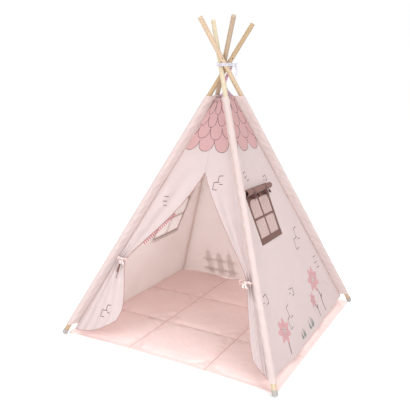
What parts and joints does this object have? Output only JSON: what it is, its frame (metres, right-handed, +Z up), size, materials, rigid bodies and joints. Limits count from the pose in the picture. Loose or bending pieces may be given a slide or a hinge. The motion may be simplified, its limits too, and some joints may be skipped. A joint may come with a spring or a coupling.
{
  "type": "wooden play tent",
  "caption": "Child's play tent: wooden poles lashed near their tops hold a sewn cloth cover with a curtained door and netted windows, over a quilted floor mat.",
  "frame": {"origin": "middle of the floor mat's underside, on the floor, in the middle between the pole feet", "axes": "+Z up, the door faces -Y, +X is to the right of someone who looks in through the door along +Y"},
  "size_m": [1.2195, 1.2196, 1.6274],
  "materials": {
    "wood": "turned pale pine, bare and sanded",
    "steel": "zinc-plated tube",
    "cap": "moulded grey-brown plastic, satin",
    "sleeve": "plain-woven cotton, cream pink",
    "cover": "plain-woven cotton, pale pink, printed outside",
    "strap": "narrow cotton tape, lilac pink",
    "net": "fine white net, see-through",
    "window_cloth": "brown cotton",
    "ribbon": "cream ribbon",
    "trim": "picot edging, pink",
    "cord": "round white cotton cord",
    "mat": "quilted cotton over wadding"
  },
  "bodies": {
    "cover": {"wall_left": "cover", "wall_right": "cover", "wall_back": "cover", "front_left": "cover", "front_right": "cover", "door_trim_left": "trim", "window_net_left": "net", "window_frame_left": "window_cloth", "window_blind_left": "window_cloth", "window_bow_left_a": "window_cloth", "window_bow_left_b": "window_cloth", "window_net_right": "net", "window_frame_right": "window_cloth", "window_blind_right": "window_cloth", "window_bow_right_a": "window_cloth", "window_bow_right_b": "window_cloth", "hanging_strap": "strap", "lashing_cord": "cord", "lashing_bow": "cord", "floor_mat": "mat"},
    "front_left_pole": {"pole_lower_front_left": "wood", "pole_upper_front_left": "wood", "pole_connector_front_left": "steel", "foot_cap_front_left": "cap", "sleeve_front_left": "sleeve", "door_tie_left": "ribbon"},
    "front_right_pole": {"pole_lower_front_right": "wood", "pole_upper_front_right": "wood", "pole_connector_front_right": "steel", "foot_cap_front_right": "cap", "sleeve_front_right": "sleeve", "door_tie_right": "ribbon"},
    "back_right_pole": {"pole_lower_back_right": "wood", "pole_upper_back_right": "wood", "pole_connector_back_right": "steel", "foot_cap_back_right": "cap", "sleeve_back_right": "sleeve"},
    "back_left_pole": {"pole_lower_back_left": "wood", "pole_upper_back_left": "wood", "pole_connector_back_left": "steel", "foot_cap_back_left": "cap", "sleeve_back_left": "sleeve"}
  },
  "joints": [
    {"name": "fold_front_left", "type": "hinge", "parent": "cover", "child": "front_left_pole", "pos_m": [0.0286, 0.02051, 1.39], "axis": [0.7025, -0.7117, 0], "range_deg": [0, 26], "deforming": ["sleeve_front_left", "door_tie_left", "wall_left", "wall_right", "wall_back", "front_left", "front_right", "door_trim_left", "window_net_left", "window_frame_left", "window_blind_left", "window_bow_left_a", "window_bow_left_b", "window_net_right", "window_frame_right", "window_blind_right", "window_bow_right_a", "window_bow_right_b", "hanging_strap", "floor_mat"]},
    {"name": "fold_front_right", "type": "hinge", "parent": "cover", "child": "front_right_pole", "pos_m": [0.00151, -0.00769, 1.39], "axis": [0.7034, 0.7108, 0], "range_deg": [0, 26], "deforming": ["sleeve_front_right", "door_tie_right"]},
    {"name": "fold_back_right", "type": "hinge", "parent": "cover", "child": "back_right_pole", "pos_m": [0.0314, -0.01281, 1.39], "axis": [-0.7331, 0.6802, 0], "range_deg": [0, 26], "deforming": ["sleeve_back_right"]},
    {"name": "fold_back_left", "type": "hinge", "parent": "cover", "child": "back_left_pole", "pos_m": [0.00121, 0.02779, 1.39], "axis": [-0.6894, -0.7244, 0], "range_deg": [0, 26], "deforming": ["sleeve_back_left"]}
  ],
  "couplings": [
    {"joint": "fold_front_right", "follows": "fold_front_left", "ratio": 1},
    {"joint": "fold_back_right", "follows": "fold_front_left", "ratio": 1},
    {"joint": "fold_back_left", "follows": "fold_front_left", "ratio": 1}
  ]
}
